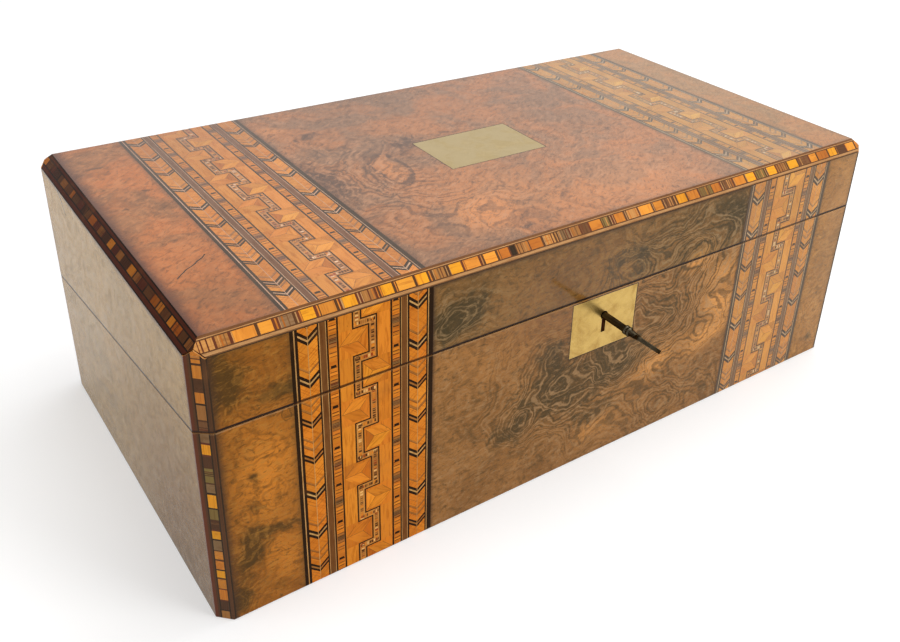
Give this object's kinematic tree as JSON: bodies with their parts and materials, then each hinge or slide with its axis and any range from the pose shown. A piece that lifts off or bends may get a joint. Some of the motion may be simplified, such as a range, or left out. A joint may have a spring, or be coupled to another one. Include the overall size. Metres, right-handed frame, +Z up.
{
  "type": "writing slope",
  "caption": "Veneered travelling writing slope: wedge-jointed box that opens flat to a hinged writing surface over paper stores, with ink and pen section, lock and key.",
  "frame": {"origin": "centre of the underside of the closed box, on the surface that it stands on", "axes": "+X to the right along the front, +Y from the front to the hinges at the back, +Z up"},
  "size_m": [0.4, 0.2509, 0.141],
  "materials": {
    "walnut": "polished burr walnut veneer",
    "parquetry": "polished parquetry of satinwood, ebony and dyed woods",
    "banding": "polished mosaic banding",
    "carcass": "mahogany, dark stained and polished at the rims",
    "fittings": "polished mahogany",
    "leather": "tooled writing leather",
    "brass": "worn brass",
    "steel": "worn steel",
    "glass": "clear cut glass"
  },
  "bodies": {
    "base": {"base_bottom_board": "carcass", "base_front_board": "carcass", "base_back_board": "carcass", "base_left_board": "carcass", "base_right_board": "carcass", "base_front_veneer": "walnut", "base_end_veneers": "walnut", "base_back_veneer": "walnut", "base_left_band": "parquetry", "base_right_band": "parquetry", "base_corner_bands": "banding", "escutcheon": "brass", "lock_case": "brass", "lock_cap_plate": "brass", "base_hinge_leaves": "brass", "hinge_pins": "steel", "base_hinge_rail": "fittings", "base_ledges": "fittings", "base_flap_fixed_leaves": "brass", "base_flap_pins": "brass", "ink_partitions": "fittings", "well_floors": "fittings", "pen_tray": "fittings", "inkwells": "glass", "inkwell_caps": "brass"},
    "lid": {"lid_top_board": "carcass", "lid_front_board": "carcass", "lid_back_board": "carcass", "lid_left_board": "carcass", "lid_right_board": "carcass", "lid_top_veneer": "walnut", "lid_front_veneer": "walnut", "lid_end_veneers": "walnut", "lid_back_veneer": "walnut", "lid_top_left_band": "parquetry", "lid_top_right_band": "parquetry", "lid_front_left_band": "parquetry", "lid_front_right_band": "parquetry", "lid_edge_bands": "banding", "lid_corner_bands": "banding", "cartouche": "brass", "link_plate": "brass", "lid_hinge_leaves": "brass", "lid_hinge_rail": "fittings", "lid_ledges": "fittings", "lid_flap_fixed_leaves": "brass", "lid_flap_pins": "brass"},
    "base_flap": {"base_flap_board": "fittings", "base_flap_leather": "leather", "base_flap_moving_leaves": "brass"},
    "lid_flap": {"lid_flap_board": "fittings", "lid_flap_leather": "leather", "lid_flap_moving_leaves": "brass", "lid_flap_catch": "brass"},
    "key": {"key": "steel"},
    "bolt": {"lock_bolt": "steel"}
  },
  "joints": [
    {"name": "lid_hinge", "type": "hinge", "parent": "base", "child": "lid", "pos_m": [0, 0.106, 0.0705], "axis": [-1, 0, 0], "range_deg": [0, 180]},
    {"name": "base_flap_hinge", "type": "hinge", "parent": "base", "child": "base_flap", "pos_m": [0, 0.08032, 0.07192], "axis": [-1, 0, 0], "range_deg": [0, 60]},
    {"name": "lid_flap_hinge", "type": "hinge", "parent": "lid", "child": "lid_flap", "pos_m": [0, 0.08094, 0.07628], "axis": [1, 0, 0], "range_deg": [0, 60]},
    {"name": "key_turn", "type": "hinge", "parent": "base", "child": "key", "pos_m": [0.0055, -0.1055, 0.0874], "axis": [0, -1, 0], "range_deg": [-50, 310]},
    {"name": "bolt_slide", "type": "slide", "parent": "base", "child": "bolt", "axis": [-1, 0, 0], "range_m": [-0.00084, 0.0053]}
  ],
  "couplings": [
    {"joint": "base_flap_hinge", "follows": "lid_hinge", "ratio": 0.33333},
    {"joint": "lid_flap_hinge", "follows": "lid_hinge", "ratio": 0.33333},
    {"joint": "bolt_slide", "follows": "key_turn", "m_per_rad": 0.00095493}
  ]
}
